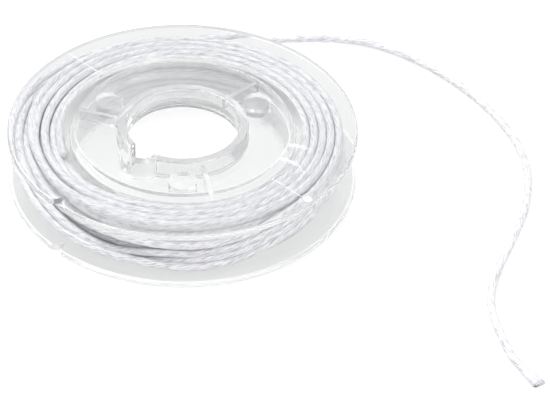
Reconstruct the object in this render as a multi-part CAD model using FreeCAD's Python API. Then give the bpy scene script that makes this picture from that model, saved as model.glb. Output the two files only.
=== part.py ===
"""String reel: one clear moulded reel with a white string wound on it.

Millimetres. The reel's axis is Z and the reel stands on Z = 0, its bottom
flange flat on the surface. Angles are in degrees, counter-clockwise from +X
seen from above. The string's tail leaves the reel at the back and lies in a
loose bow to the right (+X) and the front (-Y).
"""
import FreeCAD, Part
import math
import os

Vector = FreeCAD.Vector

# The reel's flanges and drum
reel_height = 10.45
flange_radius = 28.5
flange_thickness = 1.05
rim_rounding = 0.5
rim_rounding_limit = 0.48
edge_rounding = 0.3

# The hub ring, the web that carries it, the pocket round it and the drum's wall
bore_radius = 9.2
hub_wall = 1.5
hub_rise = 0.5
hub_drop = 0.2
pocket_radius = 17.45
pocket_depth = 2.1
web_thickness = 1.0
drum_top_wall = 1.95
drum_foot_wall = 0.8

# Ribs in the pocket, which pass to one side of the axis, and round pads beside them
rib_count = 3
first_rib_angle = 43.5
rib_offset = 1.2
rib_thickness = 0.7
rib_drop = 0.25
pad_radius = 2.3
pad_wall_gap = 1.1
pad_lag = 11.0
pad_drop = 0.35

# The keyway in the bore and the wall that bulges round it
keyway_angle = 230.0
keyway_radius = 2.25
keyway_outset = 0.4
keyway_wall = 1.5

# Notches in both rims, one above the other, which catch the string's end
catch_angle = 227.2
catch_depth = 2.1
catch_lean = 4.5
cut_clearance = 2.0

# The string and how it is wound
string_diameter = 1.3
winding_clearance = 0.05
turn_pitch = 1.8
winding_depth = 6.6
last_turn_drop = 0.2
exit_angle = 112.0
exit_drop = 1.9
exit_slope = -0.13
exit_run = 8.0

# Shares of a turn in which the string steps out, climbs and runs down to the exit
step_out_turns = 0.25
climb_turns = 0.25
run_down_turns = 0.25

# The tail's route after the string leaves the reel, to the start of its cut tip,
# and the share of a run that each bend takes at its end
tail_route = [
    (8.0, 32.2, 4.1),
    (17.0, 36.0, 2.6),
    (24.5, 38.6, 1.1),
    (31.1, 38.5, 0.65),
    (39.0, 34.0, 0.65),
    (46.2, 27.3, 0.65),
    (53.0, 17.8, 0.65),
    (57.1, 7.0, 0.65),
    (56.9, -4.4, 0.65),
    (54.0, -14.1, 0.65),
    (50.6, -23.1, 0.65),
    (49.2, -30.9, 0.65),
    (51.0, -38.6, 0.65),
    (52.3, -42.9, 0.65),
    (53.5, -44.65, 0.65),
]
bend_share = 0.45
tip_length = 4.6
tip_width = 2.1

# Sizes that follow from the ones above
string_radius = string_diameter / 2
web_top = reel_height - pocket_depth
web_bottom = web_top - web_thickness
hub_radius = bore_radius + hub_wall
hub_top = reel_height + hub_rise
hub_bottom = web_bottom - hub_drop
hub_depth = hub_top - hub_bottom
drum_radius = pocket_radius + drum_top_wall
cavity_radius = drum_radius - drum_foot_wall
pad_circle_radius = pocket_radius - pad_wall_gap - pad_radius
keyway_circle_radius = bore_radius + keyway_outset
inner_turn_radius = drum_radius + winding_clearance + string_radius
outer_turn_radius = drum_radius + winding_depth - string_radius
last_turn_radius = outer_turn_radius + turn_pitch
top_turn_height = reel_height - flange_thickness - winding_clearance - string_radius
bottom_turn_height = flange_thickness + winding_clearance + string_radius
last_turn_top_height = top_turn_height - last_turn_drop
exit_height = top_turn_height - exit_drop
corner_pitch = turn_pitch * math.sqrt(2)
last_turns = step_out_turns + climb_turns + run_down_turns


def polar(radius, angle, height=0.0):
    turn = math.radians(angle)
    return Vector(radius * math.cos(turn), radius * math.sin(turn), height)


def rounded_outline(corners):
    """A closed wire in the XZ plane through (radius, height, rounding) corners."""
    points = [Vector(radius, 0, height) for radius, height, rounding in corners]
    starts, ends, middles = [], [], []
    for i, (radius, height, rounding) in enumerate(corners):
        corner = points[i]
        back = (points[i - 1] - corner).normalize()
        ahead = (points[(i + 1) % len(points)] - corner).normalize()
        half = back.getAngle(ahead) / 2
        reach = rounding / math.tan(half)
        starts.append(corner + back * reach)
        ends.append(corner + ahead * reach)
        bisector = (back + ahead).normalize()
        middles.append(corner + bisector * (rounding / math.sin(half) - rounding))
    edges = []
    for i, (radius, height, rounding) in enumerate(corners):
        if rounding > 0:
            edges.append(Part.Arc(starts[i], middles[i], ends[i]).toShape())
        following = (i + 1) % len(corners)
        edges.append(Part.LineSegment(ends[i], starts[following]).toShape())
    return Part.Wire(edges)


def turned(corners):
    face = Part.Face(rounded_outline(corners))
    return face.revolve(Vector(0, 0, 0), Vector(0, 0, 1), 360)


def cylinder(radius, height, foot):
    return Part.makeCylinder(radius, height, foot, Vector(0, 0, 1))


def reel_body():
    """Flanges, drum, web and hub ring as one turned section."""
    rim = min(rim_rounding, rim_rounding_limit * flange_thickness)
    edge = edge_rounding
    upper = reel_height - flange_thickness
    return turned([
        (bore_radius, hub_bottom, 0),
        (hub_radius, hub_bottom, 0),
        (hub_radius, web_bottom, 0),
        (cavity_radius, web_bottom, 0),
        (cavity_radius, 0, 0),
        (flange_radius, 0, rim),
        (flange_radius, flange_thickness, rim),
        (drum_radius, flange_thickness, 0),
        (drum_radius, upper, 0),
        (flange_radius, upper, rim),
        (flange_radius, reel_height, rim),
        (pocket_radius, reel_height, edge),
        (pocket_radius, web_top, 0),
        (hub_radius, web_top, 0),
        (hub_radius, hub_top, edge),
        (bore_radius, hub_top, edge),
    ])


def ribs_and_pads():
    """Ribs from hub to drum, each with a round pad beside it."""
    bedding = web_thickness / 2
    shapes = []
    for index in range(rib_count):
        angle = first_rib_angle + index * 360 / rib_count
        inner = (bore_radius + hub_radius) / 2
        outer = (pocket_radius + drum_radius) / 2
        height = reel_height - rib_drop - web_top + bedding
        corner = Vector(inner, rib_offset - rib_thickness / 2, web_top - bedding)
        rib = Part.makeBox(outer - inner, rib_thickness, height, corner)
        rib.rotate(Vector(0, 0, 0), Vector(0, 0, 1), angle)
        shapes.append(rib)
        pad_foot = polar(pad_circle_radius, angle - pad_lag, web_top - bedding)
        pad_height = reel_height - pad_drop - web_top + bedding
        shapes.append(cylinder(pad_radius, pad_height, pad_foot))
    return shapes


def keyway_bulge():
    """The hub wall that goes round the keyway, clear of the bore."""
    centre = polar(keyway_circle_radius, keyway_angle, hub_bottom)
    wall = cylinder(keyway_radius + keyway_wall, hub_depth, centre)
    return wall.cut(cylinder(bore_radius, hub_depth, Vector(0, 0, hub_bottom)))


def catch_notch(flange_foot):
    """A notch through a rim: a quarter round inwards, then a slanting step out."""
    foot = flange_foot - cut_clearance / 2
    beyond = flange_radius + cut_clearance
    root = polar(flange_radius - catch_depth, catch_angle, foot)
    aside = polar(catch_depth, catch_angle - 90)
    outwards = polar(catch_depth, catch_angle)
    quarter = math.sqrt(0.5)
    middle = root + aside * (1 - quarter) + outwards * quarter
    shoulder = root + aside + outwards
    outside = shoulder + polar(cut_clearance, catch_angle)
    far_side = polar(beyond, catch_angle + catch_lean * beyond / flange_radius, foot)
    wire = Part.Wire([
        Part.Arc(root, middle, shoulder).toShape(),
        Part.makePolygon([shoulder, outside, far_side, root]),
    ])
    return Part.Face(wire).extrude(Vector(0, 0, flange_thickness + cut_clearance))


def make_reel():
    reel = reel_body().fuse(ribs_and_pads() + [keyway_bulge()])
    keyway = cylinder(keyway_radius, hub_depth + cut_clearance,
                      polar(keyway_circle_radius, keyway_angle, hub_bottom - cut_clearance / 2))
    notches = [catch_notch(reel_height - flange_thickness), catch_notch(0.0)]
    reel = reel.cut([keyway] + notches).removeSplitter()
    return reel.Solids[0]


def make_string_core():
    """The inner layers of turns as one plain ring, behind the outer turns."""
    inner = drum_radius + winding_clearance
    outer = outer_turn_radius - string_radius - winding_clearance
    low = flange_thickness + winding_clearance
    high = top_turn_height - string_radius - winding_clearance
    return turned([(inner, low, 0), (outer, low, 0), (outer, high, 0), (inner, high, 0)])


def wound_radius_and_height(turns):
    """The outer layer's place after so many turns from its inner end.

    It spirals outwards on the pack's top face, then winds down its side. The
    pitch is wider for one turn each side of the corner, to keep its gap there.
    """
    top_width = outer_turn_radius - inner_turn_radius
    even_turns = (top_width - corner_pitch) / turn_pitch
    travel = turns * turn_pitch
    if turns > even_turns:
        wide_turns = min(turns - even_turns, 2.0)
        travel += wide_turns * (corner_pitch - turn_pitch)
    radius = inner_turn_radius + min(travel, top_width)
    height = top_turn_height - max(travel - top_width, 0)
    return radius, height


def wound_turns():
    """How many turns the outer layer makes from its inner end to the pack's foot."""
    top_width = outer_turn_radius - inner_turn_radius
    side = top_turn_height - bottom_turn_height
    return (top_width + side - 2 * corner_pitch) / turn_pitch + 2


def eased(share):
    share = min(max(share, 0.0), 1.0)
    return share * share * (3 - 2 * share)


def last_turn(left):
    """The end of the winding, where left counts turns down to the exit.

    At the foot the string steps out by one layer, then climbs to the top, and
    from there it runs down to the exit.
    """
    radius = outer_turn_radius + turn_pitch * eased((last_turns - left) / step_out_turns)
    if left > run_down_turns:
        rise = last_turn_top_height - bottom_turn_height
        climbed = eased((run_down_turns + climb_turns - left) / climb_turns)
        return radius, bottom_turn_height + rise * climbed
    share = 1 - left / run_down_turns
    drop = exit_height - last_turn_top_height
    run_length = run_down_turns * 2 * math.pi * last_turn_radius
    bend = share * share * (share - 1) * exit_slope * run_length
    return radius, last_turn_top_height + drop * eased(share) + bend


def winding_point(left):
    """A point of the winding, where left counts turns down to the exit at 0."""
    if left > last_turns:
        radius, height = wound_radius_and_height(wound_turns() + last_turns - left)
    else:
        radius, height = last_turn(left)
    return polar(radius, exit_angle + left * 360, height)


def winding_knots():
    """Points and directions, inner end first: one at each quarter turn."""
    total = wound_turns() + last_turns
    knot_turns = 0.25
    step_turns = 0.002
    knot_count = math.floor(total / knot_turns)
    places = [total] + [i * knot_turns for i in range(knot_count, -1, -1)]
    knots = []
    for left in places:
        before = winding_point(min(left + step_turns, total))
        after = winding_point(max(left - step_turns, 0.0))
        knots.append((winding_point(left), (after - before).normalize()))
    return knots


def arc_edge(start, corner, end):
    """The arc tangent to start-corner and corner-end, whose legs are equal."""
    half = (corner - start).getAngle(end - corner) / 2
    weight = math.cos(half)
    middle = (start + corner * (2 * weight) + end) * (1 / (2 + 2 * weight))
    return Part.Arc(start, middle, end).toShape()


def biarc(start, start_way, end, end_way):
    """Two tangent arcs from start to end that leave and arrive in given directions."""
    gap = end - start
    both = start_way + end_way
    spread = 2 * (1 - start_way.dot(end_way))
    along = gap.dot(both)
    reach = (math.sqrt(along * along + spread * gap.dot(gap)) - along) / spread
    first = start + start_way * reach
    second = end - end_way * reach
    joint = (first + second) * 0.5
    return [arc_edge(start, first, joint), arc_edge(joint, second, end)]


def tube(edges, way):
    """A round tube of the string's section along tangent edges."""
    path = Part.Wire(edges)
    start = edges[0].firstVertex().Point
    ring = Part.Wire(Part.makeCircle(string_radius, start, way))
    return path.makePipeShell([ring], True, False)


def report_tube(name, solid, edges):
    length = sum(edge.Length for edge in edges)
    expected = math.pi * string_radius ** 2 * length
    print(name, "length", round(length, 2), "volume share", round(solid.Volume / expected, 5))


def winding_edges():
    knots = winding_knots()
    first, first_way = knots[0]
    edges = [Part.LineSegment(first - first_way * string_diameter, first).toShape()]
    for (start, start_way), (end, end_way) in zip(knots, knots[1:]):
        edges += biarc(start, start_way, end, end_way)
    last, last_way = knots[-1]
    edges.append(Part.LineSegment(last, last + last_way * string_diameter).toShape())
    return edges, first_way


def least_gap(edges):
    """The least gap between turns of a tube, measured on points along its path."""
    spacing = 0.8
    points, travelled = [], []
    length = 0.0
    for edge in edges:
        count = max(2, round(edge.Length / spacing))
        places = edge.discretize(Number=count + 1)[:-1]
        for i, place in enumerate(places):
            points.append(place)
            travelled.append(length + edge.Length * i / count)
        length += edge.Length
    nearest = length
    apart = 6 * string_diameter
    for i, place in enumerate(points):
        for j in range(i + 1, len(points)):
            if travelled[j] - travelled[i] > apart:
                nearest = min(nearest, place.distanceToPoint(points[j]))
    return nearest - string_diameter


def make_string_winding():
    """The outer layer of turns, one unbroken tube from its inner end to the exit."""
    edges, way = winding_edges()
    solid = tube(edges, way)
    report_tube("string_winding", solid, edges)
    print("string_winding least gap to itself", round(least_gap(edges), 3))
    return solid


def tail_points():
    """The tail's first run carries straight on from the winding's end."""
    point, way = winding_knots()[-1]
    start = point + way * string_diameter
    return [start, start + way * exit_run] + [Vector(*place) for place in tail_route]


def tail_edges(points):
    """Straight runs joined by tangent arcs, and the radius of each arc."""
    edges, radii = [], []
    reached = points[0]
    for before, corner, after in zip(points, points[1:], points[2:]):
        back = (before - corner).normalize()
        ahead = (after - corner).normalize()
        half_turn = (math.pi - back.getAngle(ahead)) / 2
        reach = bend_share * min((corner - before).Length, (after - corner).Length)
        radii.append(reach / math.tan(half_turn))
        start = corner + back * reach
        end = corner + ahead * reach
        edges.append(Part.LineSegment(reached, start).toShape())
        edges.append(arc_edge(start, corner, end))
        reached = end
    edges.append(Part.LineSegment(reached, points[-1]).toShape())
    return edges, radii


def make_string_tail():
    points = tail_points()
    edges, radii = tail_edges(points)
    solid = tube(edges, (points[1] - points[0]).normalize())
    report_tube("string_tail", solid, edges)
    print("string_tail arc radii", [round(radius, 1) for radius in radii])
    return solid


def make_string_tip():
    """The cut end, where the strands spread into a flat flare on the surface."""
    foot = Vector(*tail_route[-1])
    way = (foot - Vector(*tail_route[-2])).normalize()
    upright = Vector(0, 0, 1)
    lie = FreeCAD.Placement(foot, FreeCAD.Rotation(way.cross(upright), upright, way))
    ring = Part.Circle(Vector(0, 0, 0), upright, string_radius).toShape()
    flare = Part.Ellipse(Vector(0, 0, tip_length), tip_width / 2, string_radius).toShape()
    tip = Part.makeLoft([Part.Wire(ring), Part.Wire(flare)], True, True)
    tip.Placement = lie
    return tip


parts = {
    "reel": make_reel,
    "string_core": make_string_core,
    "string_winding": make_string_winding,
    "string_tail": make_string_tail,
    "string_tip": make_string_tip,
}

os.makedirs("parts", exist_ok=True)
for name, make in parts.items():
    shape = make()
    print(name, "valid", shape.isValid(), "volume", round(shape.Volume, 1))
    shape.exportStep("parts/" + name + ".step")
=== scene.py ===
"""Looks of the string reel: a clear moulded reel wound with white string.

Metres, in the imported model's own frame: the reel's axis is Z and its foot is at Z = 0.
"""
import math

import bmesh
import bpy
from mathutils import Matrix, Vector, noise


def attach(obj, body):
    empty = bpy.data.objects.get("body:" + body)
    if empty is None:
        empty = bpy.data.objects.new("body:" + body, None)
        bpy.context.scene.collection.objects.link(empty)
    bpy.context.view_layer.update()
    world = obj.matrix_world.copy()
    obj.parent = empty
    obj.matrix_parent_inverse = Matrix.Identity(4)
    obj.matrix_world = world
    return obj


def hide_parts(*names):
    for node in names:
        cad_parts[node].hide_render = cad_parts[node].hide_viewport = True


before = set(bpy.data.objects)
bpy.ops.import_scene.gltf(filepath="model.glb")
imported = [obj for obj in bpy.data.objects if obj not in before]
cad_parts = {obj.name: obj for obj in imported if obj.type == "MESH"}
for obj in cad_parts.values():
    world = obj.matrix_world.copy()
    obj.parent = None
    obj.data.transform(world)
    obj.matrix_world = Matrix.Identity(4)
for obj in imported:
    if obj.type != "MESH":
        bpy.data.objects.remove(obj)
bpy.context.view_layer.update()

MM = 0.001

# The reel's sizes, in millimetres and degrees
REEL_HEIGHT = 10.45
FLANGE_RADIUS = 28.5
FLANGE_THICKNESS = 1.05
RIM_ROUNDING = 0.5
EDGE_ROUNDING = 0.3
DRUM_RADIUS = 19.4
DRUM_FOOT_WALL = 0.8
ROOT_FILLET = 0.04
BORE_RADIUS = 9.2
HUB_RADIUS = 10.7
HUB_TOP = 10.95
HUB_DROP = 0.2
POCKET_RADIUS = 17.45
POCKET_DEPTH = 2.1
WEB_THICKNESS = 1.0
WEB_TOP = REEL_HEIGHT - POCKET_DEPTH
WEB_BOTTOM = WEB_TOP - WEB_THICKNESS
HUB_BOTTOM = WEB_BOTTOM - HUB_DROP
RIB_ANGLES = (43.5, 163.5, 283.5)
RIB_OFFSET = 1.2
RIB_THICKNESS = 0.7
RIB_DROP = 0.25
PAD_RADIUS = 2.3
PAD_CIRCLE_RADIUS = 14.05
PAD_LAG = 11.0
PAD_DROP = 0.35
KEYWAY_ANGLE = 230.0
KEYWAY_RADIUS = 2.25
KEYWAY_CIRCLE_RADIUS = 9.6
KEYWAY_WALL = 1.5
CATCH_ANGLE = 227.2
CATCH_DEPTH = 2.1
CATCH_LEAN = 4.5
SEGMENTS = 288

# Roundings of its lesser corners, and how far a cutting tool reaches past what it cuts
HUB_FOOT_ROUNDING = 0.08
CAVITY_ROUNDING = 0.3
POCKET_FOOT_ROUNDING = 0.15
KEYWAY_RIM_DROP = 0.02
TOOL_REACH = 1.0
CATCH_TOOL_REACH = 0.5

# Fine raised lines on the top flange, from plan point to plan point, how wide and high they
# are and how deep they are rooted, and the gate
MARKS = (
    ((19.5, -4.2), (20.6, -5.5)),
    ((18.35, -8.5), (20.0, -11.75)),
    ((14.8, -13.3), (20.4, -18.4)),
    ((-14.8, 13.8), (-20.3, 18.9)),
)
MARK_WIDTH = 0.22
MARK_RISE = 0.07
MARK_BED = 0.3
GATE = (20.5, -18.3)
GATE_RADIUS = 0.75

# How milky the plastic is on its rims, in the pocket, in the drum, how much more so at the
# drum's sides and along the pocket's edge, and how milky the raised lines are; on the rims,
# the drum's sides, the pocket's edge and the raised lines this milky white is painted
# highlight
LOW_RIM_HIGHLIGHT_HAZE = 0.8
TOP_RIM_HIGHLIGHT_HAZE = 0.4
POCKET_HAZE = 0.1
DRUM_HAZE = 0.3
DRUM_SIDE_PAINTED_LIGHT = 0.25
EDGE_HIGHLIGHT_HAZE = 0.55
MARK_HIGHLIGHT_HAZE = 0.6

# Painted shade: how much darker the plastic is painted along its edges, where refraction and
# contact make them look dark, and how high the dark edges stand
RIM_SHADE = 0.45
CATCH_SHADE = 0.9
FOOT_SHADE = 0.8
FOOT_SHADE_HEIGHT = 0.4

# Shares of the painted highlight and painted shade that run round the reel: at its sides, and
# the rise from there to its back
TOP_RIM_HIGHLIGHT_RUN = (0.5, -0.7)
EDGE_HIGHLIGHT_RUN = (0.3, -1.0)
RIM_SHADE_RUN = (0.2, 1.0)

# How near to a surface of the reel a face's middle counts as on it
NEAR = 0.1

# The string and its inner layers, in millimetres and degrees
STRING_DIAMETER = 1.3
POINTS_PER_TURN = 24
FOOT_LEVEL = 1.72
STEP_FROM = 262.0
STEP_TO = 202.0
LAYER_TURNS = (6, 6, 6, 5)
LAYER_RADII = (20.08, 21.42, 22.74, 24.04)

# Where each layer's top turn lies at the right, the back, the left and the front
TOP_RADII = (
    (20.08, 20.08, 20.08, 20.08),
    (21.42, 21.4, 21.08, 21.4),
    (22.74, 22.72, 22.42, 22.72),
    (24.04, 24.03, 23.98, 24.0),
)
TOP_LEVELS = (
    (8.45, 8.72, 8.72, 8.72),
    (8.72, 8.72, 8.05, 8.72),
    (8.72, 8.72, 8.72, 8.72),
    (8.72, 8.72, 8.72, 8.72),
)

# How far the inner turns drift from their even height and radius, and over what angle
HEIGHT_DRIFT = (0.07, 60)
RADIUS_DRIFT = (0.06, 70)
DRIFT_STRIDE = 7.31

# The last full layer's turns crowd to the top, and part at the front left
LAST_LAYER = 3
CROWDING = 0.73
PARTING_SHARE = 0.5
PARTING_MIDDLE = 243.0
PARTING_REACH = 34.0
PARTING_WIDTH = 1.6

# The outer turns, from the end of the last full layer: angle, radius and height
OUTER_WAY = [
    (202, 23.98, 8.72), (190, 24.3, 8.72), (178, 24.8, 8.72), (165, 25.2, 8.72),
    (150, 25.33, 8.72), (105, 25.36, 8.72), (60, 25.38, 8.72), (20, 25.4, 8.7),
    (0, 25.4, 8.68), (-20, 25.4, 8.5), (-32, 25.45, 8.2), (-40, 25.45, 8.1),
    (-47, 25.42, 8.05), (-52, 25.4, 7.85), (-57, 25.4, 7.2), (-63, 25.4, 6.85),
    (-70, 25.4, 6.45), (-77, 25.4, 6.2), (-84, 25.4, 6.1), (-92, 25.4, 6.3),
    (-100, 25.4, 6.3), (-110, 25.4, 6.5), (-118, 25.4, 6.7), (-125, 25.4, 6.8),
    (-132, 25.4, 6.9), (-139, 25.4, 7.1), (-146, 25.3, 7.5), (-154, 25.25, 7.9),
    (-162, 25.25, 8.2), (-170, 25.3, 7.85), (-182, 25.4, 7.45), (-195, 25.4, 7.4),
    (-210, 25.42, 7.38), (-255, 25.4, 7.38), (-300, 25.4, 7.35), (-340, 25.4, 7.3),
    (-360, 25.4, 7.2), (-385, 25.4, 7), (-400, 25.4, 6.65), (-412, 25.4, 6.25),
    (-422, 25.4, 5.5), (-430, 25.4, 4.97), (-437, 25.4, 4.67), (-444, 25.4, 4.58),
    (-452, 25.4, 4.85), (-457, 25.4, 4.75), (-462, 25.4, 4.3), (-466, 25.4, 3.85),
    (-470, 25.4, 3.4), (-474, 25.4, 3.2), (-477, 25.5, 3.6), (-480, 25.85, 4.2),
    (-483, 26.2, 4.75), (-486, 26.5, 5.05), (-490, 26.65, 5.3), (-497, 26.68, 5.95),
    (-505, 26.6, 6.9), (-515, 26.5, 7.9), (-525, 26.5, 8.25), (-540, 26.5, 8.3),
    (-555, 26.6, 7.85), (-570, 26.62, 6.95), (-585, 26.1, 6.3), (-600, 25.5, 6.05),
    (-630, 25.4, 6.03), (-660, 25.4, 6), (-700, 25.4, 5.95), (-720, 25.4, 5.85),
    (-745, 25.4, 5.65), (-760, 25.4, 5.35), (-772, 25.4, 4.85), (-782, 25.4, 4.15),
    (-790, 25.4, 3.64), (-803, 25.35, 3.28), (-812, 25.3, 3.35), (-818, 25.25, 3),
    (-824, 25.2, 2.5), (-830, 25.15, 2.1), (-836, 25.15, 1.9), (-845, 25.1, 1.9),
    (-860, 25.2, 2.1), (-900, 25.3, 3), (-940, 25.38, 4.2), (-980, 25.4, 4.6),
    (-1020, 25.4, 4.6), (-1060, 25.4, 4.5), (-1100, 25.4, 4.35), (-1120, 25.4, 4),
    (-1132, 25.4, 3.45), (-1142, 25.45, 2.8), (-1150, 25.65, 2.35), (-1157, 25.95, 2.15),
    (-1164, 26.3, 2.3), (-1172, 26.5, 2.9), (-1177, 26.55, 3.3), (-1182, 26.65, 3.55),
    (-1186, 26.7, 3.6), (-1190, 26.7, 3.5), (-1194, 26.7, 3.35), (-1197, 26.75, 3.3),
    (-1200, 26.87, 3.4), (-1203, 26.98, 3.7), (-1206, 27.05, 3.9), (-1210, 27.15, 4.12),
    (-1217, 27.28, 4.8), (-1225, 27.3, 5.78), (-1235, 27.5, 6.95), (-1245, 27.68, 7.7),
    (-1255, 27.72, 7.95), (-1268, 27.75, 8.2), (-1280, 27.72, 8.33), (-1290, 27.55, 8.2),
    (-1300, 27.35, 7.9), (-1313, 27.2, 7.45),
]

# Where the string leaves the pack, after how many whole outer turns, how it falls there and
# how far it runs straight
OUTER_TURNS = 4
EXIT_ANGLE = 112.0
EXIT_RADIUS = 27.15
EXIT_HEIGHT = 6.8
EXIT_SLOPE = -0.13
EXIT_RUN = 8.0

# The free tail's points on its way to the cut tip, in millimetres
TAIL_ROUTE = [
    (8.0, 32.2, 4.1),
    (17.0, 36.0, 2.6),
    (24.5, 38.6, 1.1),
    (31.1, 38.5, 0.65),
    (39.0, 34.0, 0.65),
    (46.2, 27.3, 0.65),
    (53.0, 17.8, 0.65),
    (57.1, 7.0, 0.65),
    (56.9, -4.4, 0.65),
    (54.0, -14.1, 0.65),
    (50.6, -23.1, 0.65),
    (49.2, -30.9, 0.65),
    (51.0, -38.6, 0.65),
    (52.3, -42.9, 0.65),
    (53.5, -44.65, 0.65),
]
TIP_LENGTH = 4.6
TIP_WIDTH = 2.1
TIP_SPACING = 0.2
TIP_BULGE = 0.12
TIP_CUT = 0.5

# The string's surface: rings and their spacing, the twist of its plies and fibres
CURVE_STEPS = 12
SIDES = 12
SEEN_SPACING = 0.42
HIDDEN_SPACING = 1.1
HIDDEN_RADIUS = 24.6
HIDDEN_HEIGHTS = (2.5, 7.9)
LAY_LENGTH = 8.0
PLIES = 3
PLY_RISE = 0.02
LOOSE_RISE = 0.05
LOOSE_SCALE = 1100
LOOSE_ROUND = 1.6
FIBRE_LAY = 26.0

# The camera, fitted to the reel's two rims
CAMERA_TARGET = (15.37, -7.22, 0.0)
CAMERA_DISTANCE = 440.19
CAMERA_ELEVATION = 39.16
CAMERA_ROLL = 1.8
CAMERA_LENS = 176.73
SENSOR_WIDTH = 36.0
CLIP_START = 0.01
CLIP_END = 20.0

# The plastic from clear to milky, whose white is painted highlight where it is milkiest and
# glows there as a painted glow, its painted-shade dark edges, and what a lamp's light passes
# through
CLEAR_TINT = (0.9, 0.905, 0.905, 1)
MILKY_HIGHLIGHT_TINT = (0.98, 0.98, 0.98, 1)
MILKY_HIGHLIGHT_FROM = 0.6
PAINTED_SHADE_TINT = (0.45, 0.46, 0.48, 1)
THIN_TINT = (0.93, 0.935, 0.935, 1)
PLASTIC_IOR = 1.49
ROUGHNESS_RANGE = (0.08, 0.3)
TRANSMISSION_RANGE = (0.98, 0.45)
PAINTED_GLOW_RANGE = (0.0, 0.2)
PAINTED_GLOW_FROM = 0.4

# The string's dark and light fibres, at its side and at its cut end
STRING_TONES = ((0.52, 0.52, 0.56, 1), (0.93, 0.93, 0.95, 1))
CUT_TONES = ((0.62, 0.62, 0.68, 1), (0.88, 0.88, 0.93, 1))
TONE_PLACES = (0.36, 0.55)
STREAK_STRETCH = (3.4, 3.4, 0.42)
STREAK_SCALE = 1.6
STREAK_DETAIL = 4
STREAK_DEPTH = 0.00012

# The floor's own glow and its lit share, as the camera and as the plastic sees it
FLOOR_REACH = 3.0
FLOOR_LEVEL = -0.02
FLOOR_SEEN = (0.8, 0.25)
FLOOR_THROUGH = (0.86, 0.09)
FLOOR_COLOUR = (0.8, 0.8, 0.8, 1)

# The lamps: place in metres, size and power; and the white world round the object
KEY_LAMP = ((-0.33, 0.3, 0.62), 0.45, 4.0)
FILL_LAMP = ((0.45, -0.45, 0.6), 0.6, 2.3)
WHITE = (1, 1, 1, 1)
WORLD_STRENGTH = 0.66
WORLD_LOW_COLOUR = (0.86, 0.87, 0.89, 1)
WORLD_WHITE_FROM = 0.7


def polar(radius, angle, height=0.0):
    turn = math.radians(angle)
    return Vector((radius * math.cos(turn), radius * math.sin(turn), height))


def eased(share):
    share = min(max(share, 0.0), 1.0)
    return share * share * (3 - 2 * share)


def link(name, data):
    thing = bpy.data.objects.new(name, data)
    bpy.context.scene.collection.objects.link(thing)
    return thing


def make_camera():
    elevation = math.radians(CAMERA_ELEVATION)
    look = Vector((0.0, math.cos(elevation), -math.sin(elevation)))
    data = bpy.data.cameras.new("camera")
    data.lens = CAMERA_LENS
    data.sensor_width = SENSOR_WIDTH
    data.clip_start = CLIP_START
    data.clip_end = CLIP_END
    camera = link("camera", data)
    camera.location = (Vector(CAMERA_TARGET) - look * CAMERA_DISTANCE) * MM
    roll = math.radians(CAMERA_ROLL)
    right = Vector((1.0, 0.0, 0.0))
    up = right.cross(look)
    tilted_right = right * math.cos(roll) + up * math.sin(roll)
    tilted_up = up * math.cos(roll) - right * math.sin(roll)
    rotation = camera.rotation_euler.to_matrix()
    rotation.col[0] = tilted_right
    rotation.col[1] = tilted_up
    rotation.col[2] = -look
    camera.rotation_euler = rotation.to_euler()
    bpy.context.scene.camera = camera


def wobble(seed, place, reach):
    """A smooth, repeatable drift of the string from its even place."""
    return reach * noise.noise(Vector((seed * DRIFT_STRIDE, place, 0.5)))


def round_value(values, angle):
    """A value that runs smoothly round through the right, back, left and front."""
    place = (angle / 90) % 4
    before = int(place) % 4
    share = eased(place - int(place))
    return values[before] * (1 - share) + values[(before + 1) % 4] * share


def layer_point(layer, turn, angle, climbed):
    """A point of a full layer, where turn counts from its foot and climbed is 0 to 1."""
    count = LAYER_TURNS[layer] - 1
    share = min(max((turn + climbed) / count, 0.0), 1.0)
    if layer == LAST_LAYER:
        share **= CROWDING
    top = round_value(TOP_LEVELS[layer], angle)
    height = FOOT_LEVEL + (top - FOOT_LEVEL) * share
    shift = round_value(TOP_RADII[layer], angle) - LAYER_RADII[layer]
    radius = LAYER_RADII[layer] + shift * share * share
    if layer == LAST_LAYER and share < PARTING_SHARE:
        away = abs((angle - PARTING_MIDDLE + 180) % 360 - 180) / PARTING_REACH
        height -= PARTING_WIDTH * (1 - eased(away)) * share
    seed = layer * 10 + turn
    height += wobble(seed, angle / HEIGHT_DRIFT[1], HEIGHT_DRIFT[0]) * (1 - share)
    radius += wobble(seed + 50, angle / RADIUS_DRIFT[1], RADIUS_DRIFT[0])
    return radius, height


def full_layers():
    """Stations of the inner layers: angle, radius and height, top to foot and back."""
    stations = []
    step_share = (STEP_FROM - STEP_TO) / 360
    turns_made = 0
    for layer, count in enumerate(LAYER_TURNS):
        down = layer % 2 == 0
        for i in range(count):
            turn = count - 1 - i if down else i
            for k in range(POINTS_PER_TURN):
                share = k / POINTS_PER_TURN
                moved = eased((share - 1 + step_share) / step_share)
                angle = STEP_TO - 360 * share
                last = i == count - 1
                climbed = 0.0 if last else (-moved if down else moved)
                radius, height = layer_point(layer, turn, angle, climbed)
                if last and layer + 1 < len(LAYER_TURNS):
                    next_turn = 0 if down else LAYER_TURNS[layer + 1] - 1
                    after = layer_point(layer + 1, next_turn, angle, 0.0)
                    radius += (after[0] - radius) * moved
                    height += (after[1] - height) * moved
                stations.append((angle - 360 * turns_made, radius, height))
            turns_made += 1
    return stations, turns_made


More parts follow.
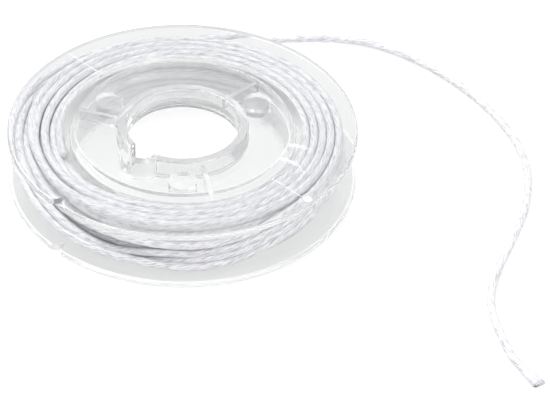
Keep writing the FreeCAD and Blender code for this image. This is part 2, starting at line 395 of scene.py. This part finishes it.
def smooth_way(stations, angle):
    """Radius and height at an angle, on a smooth line through falling stations."""
    i = 1
    while i < len(stations) - 2 and stations[i + 1][0] > angle:
        i += 1
    before, start, end, after = (Vector(stations[j]) for j in (i - 1, i, i + 1, i + 2))
    span = end.x - start.x
    share = (angle - start.x) / span
    leave = (end - before) / (end.x - before.x) * span
    arrive = (after - start) / (after.x - start.x) * span
    a = 2 * share ** 3 - 3 * share ** 2 + 1
    b = share ** 3 - 2 * share ** 2 + share
    c = -2 * share ** 3 + 3 * share ** 2
    d = share ** 3 - share ** 2
    place = start * a + leave * b + end * c + arrive * d
    return place.y, place.z


def wound_points():
    """Control points of the turns, from the inner end to the exit.

    The string winds clockwise seen from above, so its angle falls all the way.
    """
    spread = 360.0 / POINTS_PER_TURN
    cut = (3 + math.cos(math.radians(spread))) / 4
    stations, turns_made = full_layers()
    join = 360.0 * turns_made
    outer = [(angle - join, radius, height) for angle, radius, height in OUTER_WAY]
    exit_angle = EXIT_ANGLE - 360 * OUTER_TURNS - join
    slope = EXIT_SLOPE * 2 * math.pi * EXIT_RADIUS / 360
    outer.append((exit_angle, EXIT_RADIUS, EXIT_HEIGHT))
    outer.append((exit_angle - spread, EXIT_RADIUS, EXIT_HEIGHT + slope * spread))
    inner = [station for station in stations if station[0] > outer[0][0]]
    stations = inner + outer
    points = []
    angle = inner[0][0]
    while angle > exit_angle + spread / 3:
        if angle > outer[0][0]:
            radius, height = inner[round((inner[0][0] - angle) / spread)][1:]
        else:
            radius, height = smooth_way(stations, angle)
        points.append(polar(radius / cut, angle, height))
        angle -= spread
    return points


def string_points():
    """The whole string: its turns, its exit, and the tail to the start of its tip."""
    turns = wound_points()
    leave = polar(EXIT_RADIUS, EXIT_ANGLE, EXIT_HEIGHT)
    angle = math.radians(EXIT_ANGLE)
    way = Vector((math.sin(angle), -math.cos(angle), EXIT_SLOPE)).normalized()
    start = leave + way * STRING_DIAMETER
    tail = [start, start + way * EXIT_RUN] + [Vector(point) for point in TAIL_ROUTE]
    return [point * MM for point in turns + tail]


def nurbs_curve(name, points):
    data = bpy.data.curves.new(name, "CURVE")
    data.dimensions = "3D"
    data.resolution_u = CURVE_STEPS
    spline = data.splines.new("NURBS")
    spline.points.add(len(points) - 1)
    for slot, point in zip(spline.points, points):
        slot.co = (*point, 1.0)
    spline.order_u = 3
    spline.use_endpoint_u = True
    return data


def followed(points):
    """Points read from the route's own smooth line."""
    guide = link("string_guide", nurbs_curve("string_guide", points))
    line = bpy.data.meshes.new_from_object(guide)
    read = [vertex.co.copy() for vertex in line.vertices]
    bpy.data.objects.remove(guide)
    bpy.data.meshes.remove(line)
    return read


def ring_spacing(place):
    """Rings are close where the string shows, and wider inside the pack."""
    inside = math.hypot(place.x, place.y) < HIDDEN_RADIUS * MM
    buried = HIDDEN_HEIGHTS[0] * MM < place.z < HIDDEN_HEIGHTS[1] * MM
    return (HIDDEN_SPACING if inside and buried else SEEN_SPACING) * MM


def even_steps(points):
    """Points along a line, a steady distance apart where the string is alike."""
    result = [points[0].copy()]
    carried = 0.0
    for before, after in zip(points, points[1:]):
        run = (after - before).length
        spacing = ring_spacing(before)
        while carried + run >= spacing:
            part = max(spacing - carried, 0.0) / run
            before = before.lerp(after, part)
            result.append(before.copy())
            run = (after - before).length
            carried = 0.0
        carried += run
    result.append(points[-1].copy())
    return result


def string_radius(place, angle, twisted):
    """The string's radius round a ring: twisted plies, and loose filaments."""
    plies = PLY_RISE * math.cos(PLIES * (angle - twisted))
    around = Vector((math.cos(angle), math.sin(angle), 0.0))
    loose = LOOSE_RISE * noise.noise(place * LOOSE_SCALE + around * LOOSE_ROUND)
    return STRING_DIAMETER / 2 * MM * (1 + plies + loose)


def directions(path, i):
    """Ahead, across and over at a point of a path."""
    ahead = path[min(i + 1, len(path) - 1)] - path[max(i - 1, 0)]
    ahead.normalize()
    across = ahead.cross(Vector((0, 0, 1))).normalized()
    return ahead, across, across.cross(ahead)


def lay_tube(name, path, travelled, widths, cut=0.0):
    """A tube along a path, with a fibre direction for its material.

    widths widens each ring across the path, and cut is how unevenly its end is cut.
    """
    verts, faces, fibres = [], [], []
    for i, place in enumerate(path):
        ahead, across, over = directions(path, i)
        if i:
            travelled += (place - path[i - 1]).length / MM
        twisted = travelled / LAY_LENGTH * 2 * math.pi
        spun = travelled / FIBRE_LAY * 2 * math.pi
        for side in range(SIDES):
            angle = side / SIDES * 2 * math.pi
            radius = string_radius(place, angle, twisted)
            reach = across * (math.cos(angle) * radius * widths[i])
            reach += over * (math.sin(angle) * radius)
            if i == len(path) - 1:
                reach += ahead * (cut * MM * wobble(90, side * 1.7, 1.0))
            verts.append(place + reach)
            fibres += (math.cos(angle - spun), math.sin(angle - spun), travelled)
    for i in range(len(path) - 1):
        for side in range(SIDES):
            a = i * SIDES + side
            b = i * SIDES + (side + 1) % SIDES
            faces.append((a, b, b + SIDES, a + SIDES))
    faces.append(tuple(range(SIDES))[::-1])
    faces.append(tuple(range(len(verts) - SIDES, len(verts))))
    mesh = bpy.data.meshes.new(name)
    mesh.from_pydata(verts, [], faces)
    fibre = mesh.attributes.new("fibre", "FLOAT_VECTOR", "POINT")
    fibre.data.foreach_set("vector", fibres)
    mesh.polygons.foreach_set("use_smooth", [True] * len(mesh.polygons))
    return link(name, mesh), travelled


def make_string(points):
    """One tube along the whole route, up to the start of its cut tip."""
    path = even_steps(followed(points))
    string, length = lay_tube("string", path, 0.0, [1.0] * len(path))
    return string, path, length


def make_tip(path, travelled):
    """The cut end, whose strands spread into a flat flare."""
    way = (path[-1] - path[-3]).normalized()
    count = round(TIP_LENGTH / TIP_SPACING)
    shares = [i / count for i in range(count + 1)]
    places = [path[-1] + way * (TIP_LENGTH * MM * share) for share in shares]
    spread = TIP_WIDTH / STRING_DIAMETER - 1
    bulges = [TIP_BULGE * math.sin(math.pi * share) for share in shares]
    widths = [1 + spread * (share + bulge) for share, bulge in zip(shares, bulges)]
    return lay_tube("string_cut_tip", places, travelled, widths, cut=TIP_CUT)[0]


def ring_mesh(profile, segments):
    """A closed turned mesh from (radius, height) points, in metres."""
    mesh = bmesh.new()
    rings = []
    for s in range(segments):
        angle = 360 * s / segments
        rings.append([mesh.verts.new(polar(r, angle, z) * MM) for r, z in profile])
    count = len(profile)
    for s in range(segments):
        here, there = rings[s], rings[(s + 1) % segments]
        for i in range(count):
            j = (i + 1) % count
            mesh.faces.new((here[i], here[j], there[j], there[i]))
    return mesh


def rounded_profile(corners, steps=6):
    """(radius, height) points of an outline whose corners carry a rounding."""
    points = []
    for i, (radius, height, rounding) in enumerate(corners):
        corner = Vector((radius, height))
        if rounding == 0:
            points.append((radius, height))
            continue
        before = Vector(corners[i - 1][:2]) - corner
        after = Vector(corners[(i + 1) % len(corners)][:2]) - corner
        before.normalize()
        after.normalize()
        half = before.angle(after) / 2
        reach = rounding / math.tan(half)
        centre = corner + (before + after).normalized() * (rounding / math.sin(half))
        start = corner + before * reach - centre
        end = corner + after * reach - centre
        swing = start.angle_signed(end)
        for step in range(steps + 1):
            turned = start.copy()
            turned.rotate(Matrix.Rotation(-swing * step / steps, 2))
            points.append(tuple(centre + turned))
    return points


def reel_profile():
    upper = REEL_HEIGHT - FLANGE_THICKNESS
    cavity = DRUM_RADIUS - DRUM_FOOT_WALL
    return rounded_profile([
        (BORE_RADIUS, HUB_BOTTOM + FOOT_SHADE_HEIGHT, 0),
        (BORE_RADIUS, HUB_BOTTOM, HUB_FOOT_ROUNDING),
        (HUB_RADIUS, HUB_BOTTOM, HUB_FOOT_ROUNDING),
        (HUB_RADIUS, WEB_BOTTOM, HUB_FOOT_ROUNDING),
        (cavity, WEB_BOTTOM, CAVITY_ROUNDING),
        (cavity, 0, CAVITY_ROUNDING / 2),
        (FLANGE_RADIUS, 0, RIM_ROUNDING),
        (FLANGE_RADIUS, FLANGE_THICKNESS, RIM_ROUNDING),
        (DRUM_RADIUS, FLANGE_THICKNESS, ROOT_FILLET),
        (DRUM_RADIUS, FLANGE_THICKNESS + FOOT_SHADE_HEIGHT, 0),
        (DRUM_RADIUS, upper, ROOT_FILLET),
        (FLANGE_RADIUS, upper, RIM_ROUNDING),
        (FLANGE_RADIUS, REEL_HEIGHT, RIM_ROUNDING),
        (POCKET_RADIUS, REEL_HEIGHT, EDGE_ROUNDING),
        (POCKET_RADIUS, WEB_TOP, POCKET_FOOT_ROUNDING),
        (HUB_RADIUS, WEB_TOP, POCKET_FOOT_ROUNDING),
        (HUB_RADIUS, HUB_TOP, EDGE_ROUNDING),
        (BORE_RADIUS, HUB_TOP, EDGE_ROUNDING),
    ])


def as_object(name, mesh):
    bmesh.ops.recalc_face_normals(mesh, faces=mesh.faces)
    data = bpy.data.meshes.new(name)
    mesh.to_mesh(data)
    mesh.free()
    return link(name, data)


def prism(name, outline, low, high):
    """A closed upright prism over (x, y) points, in millimetres."""
    mesh = bmesh.new()
    foot = [mesh.verts.new(Vector((x, y, low)) * MM) for x, y in outline]
    head = [mesh.verts.new(Vector((x, y, high)) * MM) for x, y in outline]
    mesh.faces.new(foot[::-1])
    mesh.faces.new(head)
    for i in range(len(outline)):
        j = (i + 1) % len(outline)
        mesh.faces.new((foot[i], foot[j], head[j], head[i]))
    return as_object(name, mesh)


def disc_outline(centre, radius, steps=48):
    return [
        (centre.x + radius * math.cos(2 * math.pi * i / steps),
         centre.y + radius * math.sin(2 * math.pi * i / steps))
        for i in range(steps)
    ]


def combine(target, tool, operation):
    """Joins or cuts a tool from the target, and removes the tool."""
    change = target.modifiers.new("combine", "BOOLEAN")
    change.operation = operation
    change.object = tool
    change.solver = "EXACT"
    bpy.context.view_layer.objects.active = target
    bpy.ops.object.modifier_apply(modifier=change.name)
    bpy.data.objects.remove(tool)


def bar_outline(start, end, width):
    """A straight bar's plan between two points."""
    start, end = Vector(start), Vector(end)
    side = (end - start).orthogonal().normalized() * width / 2
    return [tuple(point) for point in (start - side, end - side, end + side, start + side)]


def rib_outline(angle):
    along = polar(1, angle).xy
    aside = polar(RIB_OFFSET, angle + 90).xy
    inner = (BORE_RADIUS + HUB_RADIUS) / 2
    outer = POCKET_RADIUS + EDGE_ROUNDING * 2
    return bar_outline(along * inner + aside, along * outer + aside, RIB_THICKNESS)


def catch_outline(steps=10):
    """A quarter round inwards from the rim, then a slanting step out."""
    root = polar(FLANGE_RADIUS - CATCH_DEPTH, CATCH_ANGLE)
    aside = polar(CATCH_DEPTH, CATCH_ANGLE - 90)
    outwards = polar(CATCH_DEPTH, CATCH_ANGLE)
    outline = []
    for i in range(steps + 1):
        turn = math.pi / 2 * i / steps
        outline.append(root + aside * (1 - math.cos(turn)) + outwards * math.sin(turn))
    outline.append(outline[-1] + polar(2 * TOOL_REACH, CATCH_ANGLE))
    beyond = FLANGE_RADIUS + 2 * TOOL_REACH
    outline.append(polar(beyond, CATCH_ANGLE + CATCH_LEAN * beyond / FLANGE_RADIUS))
    return [tuple(point.xy) for point in outline]


def add_ribs_and_pads(reel):
    bed = WEB_TOP - WEB_THICKNESS / 2
    for angle in RIB_ANGLES:
        rib = prism("rib", rib_outline(angle), bed, REEL_HEIGHT - RIB_DROP)
        combine(reel, rib, "UNION")
        centre = polar(PAD_CIRCLE_RADIUS, angle - PAD_LAG)
        pad = prism("pad", disc_outline(centre, PAD_RADIUS), bed, REEL_HEIGHT - PAD_DROP)
        combine(reel, pad, "UNION")


def add_keyway(reel):
    """The hub wall bulges round the keyway, which opens into the bore."""
    centre = polar(KEYWAY_CIRCLE_RADIUS, KEYWAY_ANGLE)
    outline = disc_outline(centre, KEYWAY_RADIUS + KEYWAY_WALL, 72)
    bulge = prism("bulge", outline, HUB_BOTTOM, HUB_TOP - KEYWAY_RIM_DROP)
    bore = disc_outline(Vector((0, 0, 0)), BORE_RADIUS + EDGE_ROUNDING, 144)
    combine(bulge, prism("bore", bore, 0, HUB_TOP + TOOL_REACH), "DIFFERENCE")
    combine(reel, bulge, "UNION")
    keyway = disc_outline(centre, KEYWAY_RADIUS, 72)
    slot = prism("keyway", keyway, HUB_BOTTOM - TOOL_REACH, HUB_TOP + TOOL_REACH)
    combine(reel, slot, "DIFFERENCE")


def add_catches(reel):
    upper = REEL_HEIGHT - FLANGE_THICKNESS
    top = (upper - CATCH_TOOL_REACH, REEL_HEIGHT + TOOL_REACH)
    foot = (-TOOL_REACH, FLANGE_THICKNESS + CATCH_TOOL_REACH)
    for low, high in (top, foot):
        combine(reel, prism("catch", catch_outline(), low, high), "DIFFERENCE")


def add_marks(reel):
    bed = REEL_HEIGHT - MARK_BED
    for start, end in MARKS:
        mark = prism("mark", bar_outline(start, end, MARK_WIDTH), bed, REEL_HEIGHT + MARK_RISE)
        combine(reel, mark, "UNION")
    gate = disc_outline(Vector(GATE), GATE_RADIUS, 20)
    combine(reel, prism("gate", gate, bed, REEL_HEIGHT + 2 * MARK_RISE), "UNION")


def run_round(run, middle, out):
    """A share that runs round the reel from its front to its back."""
    return eased(run[0] + run[1] * middle.y / out)


def haze_and_highlight_value(middle, out):
    """How milky the plastic is at a place in millimetres, from clear to white; on the rims,
    the pocket's edge, the drum's sides and the raised lines the white is painted highlight.
    """
    low = middle.z < REEL_HEIGHT / 2
    upright = NEAR < middle.z < FLANGE_THICKNESS - NEAR
    if low and upright and out > FLANGE_RADIUS - CATCH_DEPTH:
        return LOW_RIM_HIGHLIGHT_HAZE
    # Rims: milky white that is painted highlight
    if out > FLANGE_RADIUS - RIM_ROUNDING:
        return LOW_RIM_HIGHLIGHT_HAZE if low else TOP_RIM_HIGHLIGHT_HAZE * run_round(TOP_RIM_HIGHLIGHT_RUN, middle, out)
    if out < POCKET_RADIUS - 2 * NEAR:
        return POCKET_HAZE
    if out < POCKET_RADIUS + EDGE_ROUNDING and middle.z > REEL_HEIGHT - EDGE_ROUNDING:
        return DRUM_HAZE + EDGE_HIGHLIGHT_HAZE * run_round(EDGE_HIGHLIGHT_RUN, middle, out)
    if out < DRUM_RADIUS + NEAR:
        return DRUM_HAZE + DRUM_SIDE_PAINTED_LIGHT * (middle.x / out) ** 2
    return MARK_HIGHLIGHT_HAZE if middle.z > REEL_HEIGHT + MARK_RISE / 4 else 0.0


def shade_value(middle, out):
    """Painted shade: how dark the plastic is painted at the hub's and drum's foot, the top rim
    and its catch.
    """
    if out < HUB_RADIUS and middle.z < HUB_BOTTOM + FOOT_SHADE_HEIGHT:
        return FOOT_SHADE
    at_drum = abs(out - DRUM_RADIUS) < NEAR
    if at_drum and FLANGE_THICKNESS < middle.z < FLANGE_THICKNESS + FOOT_SHADE_HEIGHT:
        return FOOT_SHADE
    if middle.z > REEL_HEIGHT / 2 and out > FLANGE_RADIUS - RIM_ROUNDING:
        return RIM_SHADE * run_round(RIM_SHADE_RUN, middle, out)
    upright = REEL_HEIGHT - FLANGE_THICKNESS + NEAR < middle.z < REEL_HEIGHT - NEAR
    if upright and out > FLANGE_RADIUS - CATCH_DEPTH - NEAR:
        return CATCH_SHADE
    return 0.0


def mark_looks(reel):
    """Face values for the material: milkiness with painted highlight, and painted shade."""
    reel.data.attributes.new("haze_and_highlight", "FLOAT", "FACE")
    reel.data.attributes.new("shade", "FLOAT", "FACE")
    for face in reel.data.polygons:
        middle = face.center / MM
        out = math.hypot(middle.x, middle.y)
        reel.data.attributes["haze_and_highlight"].data[face.index].value = haze_and_highlight_value(middle, out)
        reel.data.attributes["shade"].data[face.index].value = shade_value(middle, out)


def make_reel():
    reel = as_object("reel_clear", ring_mesh(reel_profile(), SEGMENTS))
    add_ribs_and_pads(reel)
    add_keyway(reel)
    add_catches(reel)
    add_marks(reel)
    mark_looks(reel)
    reel.data.polygons.foreach_set("use_smooth", [True] * len(reel.data.polygons))
    reel.data.set_sharp_from_angle(angle=math.radians(32))
    return reel


def shader(name):
    material = bpy.data.materials.new(name)
    material.use_nodes = True
    tree = material.node_tree
    return material, tree, tree.nodes["Principled BSDF"], tree.nodes["Material Output"]


def ranged(tree, factor, limits, socket, start=0.0):
    """Drives a socket from limit to limit as a factor goes from its start to 1."""
    spread = tree.nodes.new("ShaderNodeMapRange")
    spread.inputs["From Min"].default_value = start
    spread.inputs["To Min"].default_value = limits[0]
    spread.inputs["To Max"].default_value = limits[1]
    tree.links.new(factor, spread.inputs["Value"])
    tree.links.new(spread.outputs["Result"], socket)


def ramp_node(tree, low, high):
    """A colour ramp from one (place, colour) to another."""
    ramp = tree.nodes.new("ShaderNodeValToRGB")
    for element, (place, colour) in zip(ramp.color_ramp.elements, (low, high)):
        element.position = place
        element.color = colour
    return ramp


def clear_plastic():
    """Clear, slightly milky moulded plastic that lets the lamps reach the string, with painted
    highlight and painted glow where it is milky and painted shade on its dark edges.
    """
    material, tree, body, output = shader("clear_plastic")
    haze_and_highlight = tree.nodes.new("ShaderNodeAttribute")
    haze_and_highlight.attribute_name = "haze_and_highlight"
    # Tint from clear to milky white; the white is painted highlight on rims, edges and raised
    # lines
    tint = ramp_node(tree, (0.0, CLEAR_TINT), (MILKY_HIGHLIGHT_FROM, MILKY_HIGHLIGHT_TINT))
    tree.links.new(haze_and_highlight.outputs["Fac"], tint.inputs["Fac"])
    shade = tree.nodes.new("ShaderNodeAttribute")
    shade.attribute_name = "shade"
    # Painted shade: the shade values mix a dark tint into the base colour
    darkened = tree.nodes.new("ShaderNodeMixRGB")
    darkened.inputs["Color2"].default_value = PAINTED_SHADE_TINT
    tree.links.new(shade.outputs["Fac"], darkened.inputs["Fac"])
    tree.links.new(tint.outputs["Color"], darkened.inputs["Color1"])
    tree.links.new(darkened.outputs["Color"], body.inputs["Base Color"])
    body.inputs["IOR"].default_value = PLASTIC_IOR
    # Painted glow: the milkiest places glow white though they are no lamp
    body.inputs["Emission Color"].default_value = WHITE
    milky_and_highlit = haze_and_highlight.outputs["Fac"]
    ranged(tree, milky_and_highlit, ROUGHNESS_RANGE, body.inputs["Roughness"])
    ranged(tree, milky_and_highlit, TRANSMISSION_RANGE, body.inputs["Transmission Weight"])
    ranged(tree, milky_and_highlit, PAINTED_GLOW_RANGE, body.inputs["Emission Strength"], PAINTED_GLOW_FROM)
    clear = tree.nodes.new("ShaderNodeBsdfTransparent")
    clear.inputs["Color"].default_value = THIN_TINT
    path = tree.nodes.new("ShaderNodeLightPath")
    lit = either(tree, path.outputs["Is Shadow Ray"], path.outputs["Is Diffuse Ray"])
    surface = mixed(tree, lit, body.outputs["BSDF"], clear.outputs["BSDF"])
    tree.links.new(surface, output.inputs["Surface"])
    return material


def string_material(name, tones):
    """White filaments that run round the string in a long twist."""
    material, tree, body = shader(name)[:3]
    fibre = tree.nodes.new("ShaderNodeAttribute")
    fibre.attribute_name = "fibre"
    stretch = tree.nodes.new("ShaderNodeMapping")
    stretch.inputs["Scale"].default_value = STREAK_STRETCH
    tree.links.new(fibre.outputs["Vector"], stretch.inputs["Vector"])
    streaks = tree.nodes.new("ShaderNodeTexNoise")
    streaks.inputs["Scale"].default_value = STREAK_SCALE
    streaks.inputs["Detail"].default_value = STREAK_DETAIL
    tree.links.new(stretch.outputs["Vector"], streaks.inputs["Vector"])
    tone = ramp_node(tree, *zip(TONE_PLACES, tones))
    tree.links.new(streaks.outputs["Fac"], tone.inputs["Fac"])
    tree.links.new(tone.outputs["Color"], body.inputs["Base Color"])
    body.inputs["Roughness"].default_value = 0.45
    body.inputs["Sheen Weight"].default_value = 0.2
    bump = tree.nodes.new("ShaderNodeBump")
    bump.inputs["Strength"].default_value = 0.5
    bump.inputs["Distance"].default_value = STREAK_DEPTH
    tree.links.new(streaks.outputs["Fac"], bump.inputs["Height"])
    tree.links.new(bump.outputs["Normal"], body.inputs["Normal"])
    return material


def either(tree, first, second):
    """A factor that is 1 where one of two factors is."""
    most = tree.nodes.new("ShaderNodeMath")
    most.operation = "MAXIMUM"
    tree.links.new(first, most.inputs[0])
    tree.links.new(second, most.inputs[1])
    return most.outputs[0]


def glow_and_matt(tree, glow_level, matt_level):
    """A floor look that is part its own white and part lit, so a shadow stays soft."""
    matt = tree.nodes.new("ShaderNodeBsdfDiffuse")
    matt.inputs["Color"].default_value = (matt_level, matt_level, matt_level, 1)
    glow = tree.nodes.new("ShaderNodeEmission")
    glow.inputs["Strength"].default_value = glow_level
    both = tree.nodes.new("ShaderNodeAddShader")
    tree.links.new(matt.outputs["BSDF"], both.inputs[0])
    tree.links.new(glow.outputs["Emission"], both.inputs[1])
    return both.outputs["Shader"]


def mixed(tree, factor, first, second):
    mix = tree.nodes.new("ShaderNodeMixShader")
    tree.links.new(factor, mix.inputs["Fac"])
    tree.links.new(first, mix.inputs[1])
    tree.links.new(second, mix.inputs[2])
    return mix.outputs["Shader"]


def make_floor():
    mesh = bmesh.new()
    far = FLOOR_REACH
    corners = ((-far, -far), (far, -far), (far, far), (-far, far))
    mesh.faces.new([mesh.verts.new((x, y, FLOOR_LEVEL * MM)) for x, y in corners])
    floor = as_object("floor", mesh)
    material, tree, body, output = shader("floor_white")
    body.inputs["Base Color"].default_value = FLOOR_COLOUR
    body.inputs["Roughness"].default_value = 1.0
    body.inputs["Specular IOR Level"].default_value = 0.0
    path = tree.nodes.new("ShaderNodeLightPath")
    through = either(tree, path.outputs["Is Glossy Ray"], path.outputs["Is Transmission Ray"])
    inside = mixed(tree, through, body.outputs["BSDF"], glow_and_matt(tree, *FLOOR_THROUGH))
    seen = glow_and_matt(tree, *FLOOR_SEEN)
    surface = mixed(tree, path.outputs["Is Camera Ray"], inside, seen)
    tree.links.new(surface, output.inputs["Surface"])
    floor.data.materials.append(material)


def lamp(name, place, size, power):
    """A square lamp that faces the reel."""
    data = bpy.data.lights.new(name, "AREA")
    data.shape = "SQUARE"
    data.size = size
    data.energy = power
    thing = link(name, data)
    thing.location = place
    thing.rotation_euler = (-Vector(place)).to_track_quat("-Z", "Y").to_euler()


def make_light():
    lamp("key", *KEY_LAMP)
    lamp("fill", *FILL_LAMP)
    world = bpy.data.worlds.new("world")
    bpy.context.scene.world = world
    world.use_nodes = True
    tree = world.node_tree
    backdrop = tree.nodes["Background"]
    backdrop.inputs["Color"].default_value = WHITE
    backdrop.inputs["Strength"].default_value = WORLD_STRENGTH
    bright = tree.nodes.new("ShaderNodeBackground")
    bright.inputs["Color"].default_value = WHITE
    place = tree.nodes.new("ShaderNodeTexCoord")
    split = tree.nodes.new("ShaderNodeSeparateXYZ")
    tree.links.new(place.outputs["Generated"], split.inputs[0])
    ramp = ramp_node(tree, (0.0, WORLD_LOW_COLOUR), (WORLD_WHITE_FROM, WHITE))
    tree.links.new(split.outputs["Z"], ramp.inputs["Fac"])
    glass = tree.nodes.new("ShaderNodeBackground")
    tree.links.new(ramp.outputs["Color"], glass.inputs["Color"])
    path = tree.nodes.new("ShaderNodeLightPath")
    through = either(tree, path.outputs["Is Glossy Ray"], path.outputs["Is Transmission Ray"])
    inside = mixed(tree, through, backdrop.outputs["Background"], glass.outputs["Background"])
    surface = mixed(tree, path.outputs["Is Camera Ray"], inside, bright.outputs["Background"])
    tree.links.new(surface, tree.nodes["World Output"].inputs["Surface"])


make_camera()
string, path, length = make_string(string_points())
string.data.materials.append(string_material("string_fibres", STRING_TONES))
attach(string, "root")
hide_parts("string_core", "string_winding", "string_tail")

tip = make_tip(path, length)
tip.data.materials.append(string_material("cut_fibres", CUT_TONES))
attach(tip, "root")
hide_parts("string_tip")

reel = make_reel()
reel.data.materials.append(clear_plastic())
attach(reel, "root")
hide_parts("reel")

make_floor()
make_light()
bpy.context.scene.view_settings.view_transform = "Standard"
cycles = bpy.context.scene.cycles
cycles.max_bounces = 32
cycles.transmission_bounces = 32
cycles.glossy_bounces = 24
cycles.transparent_max_bounces = 32
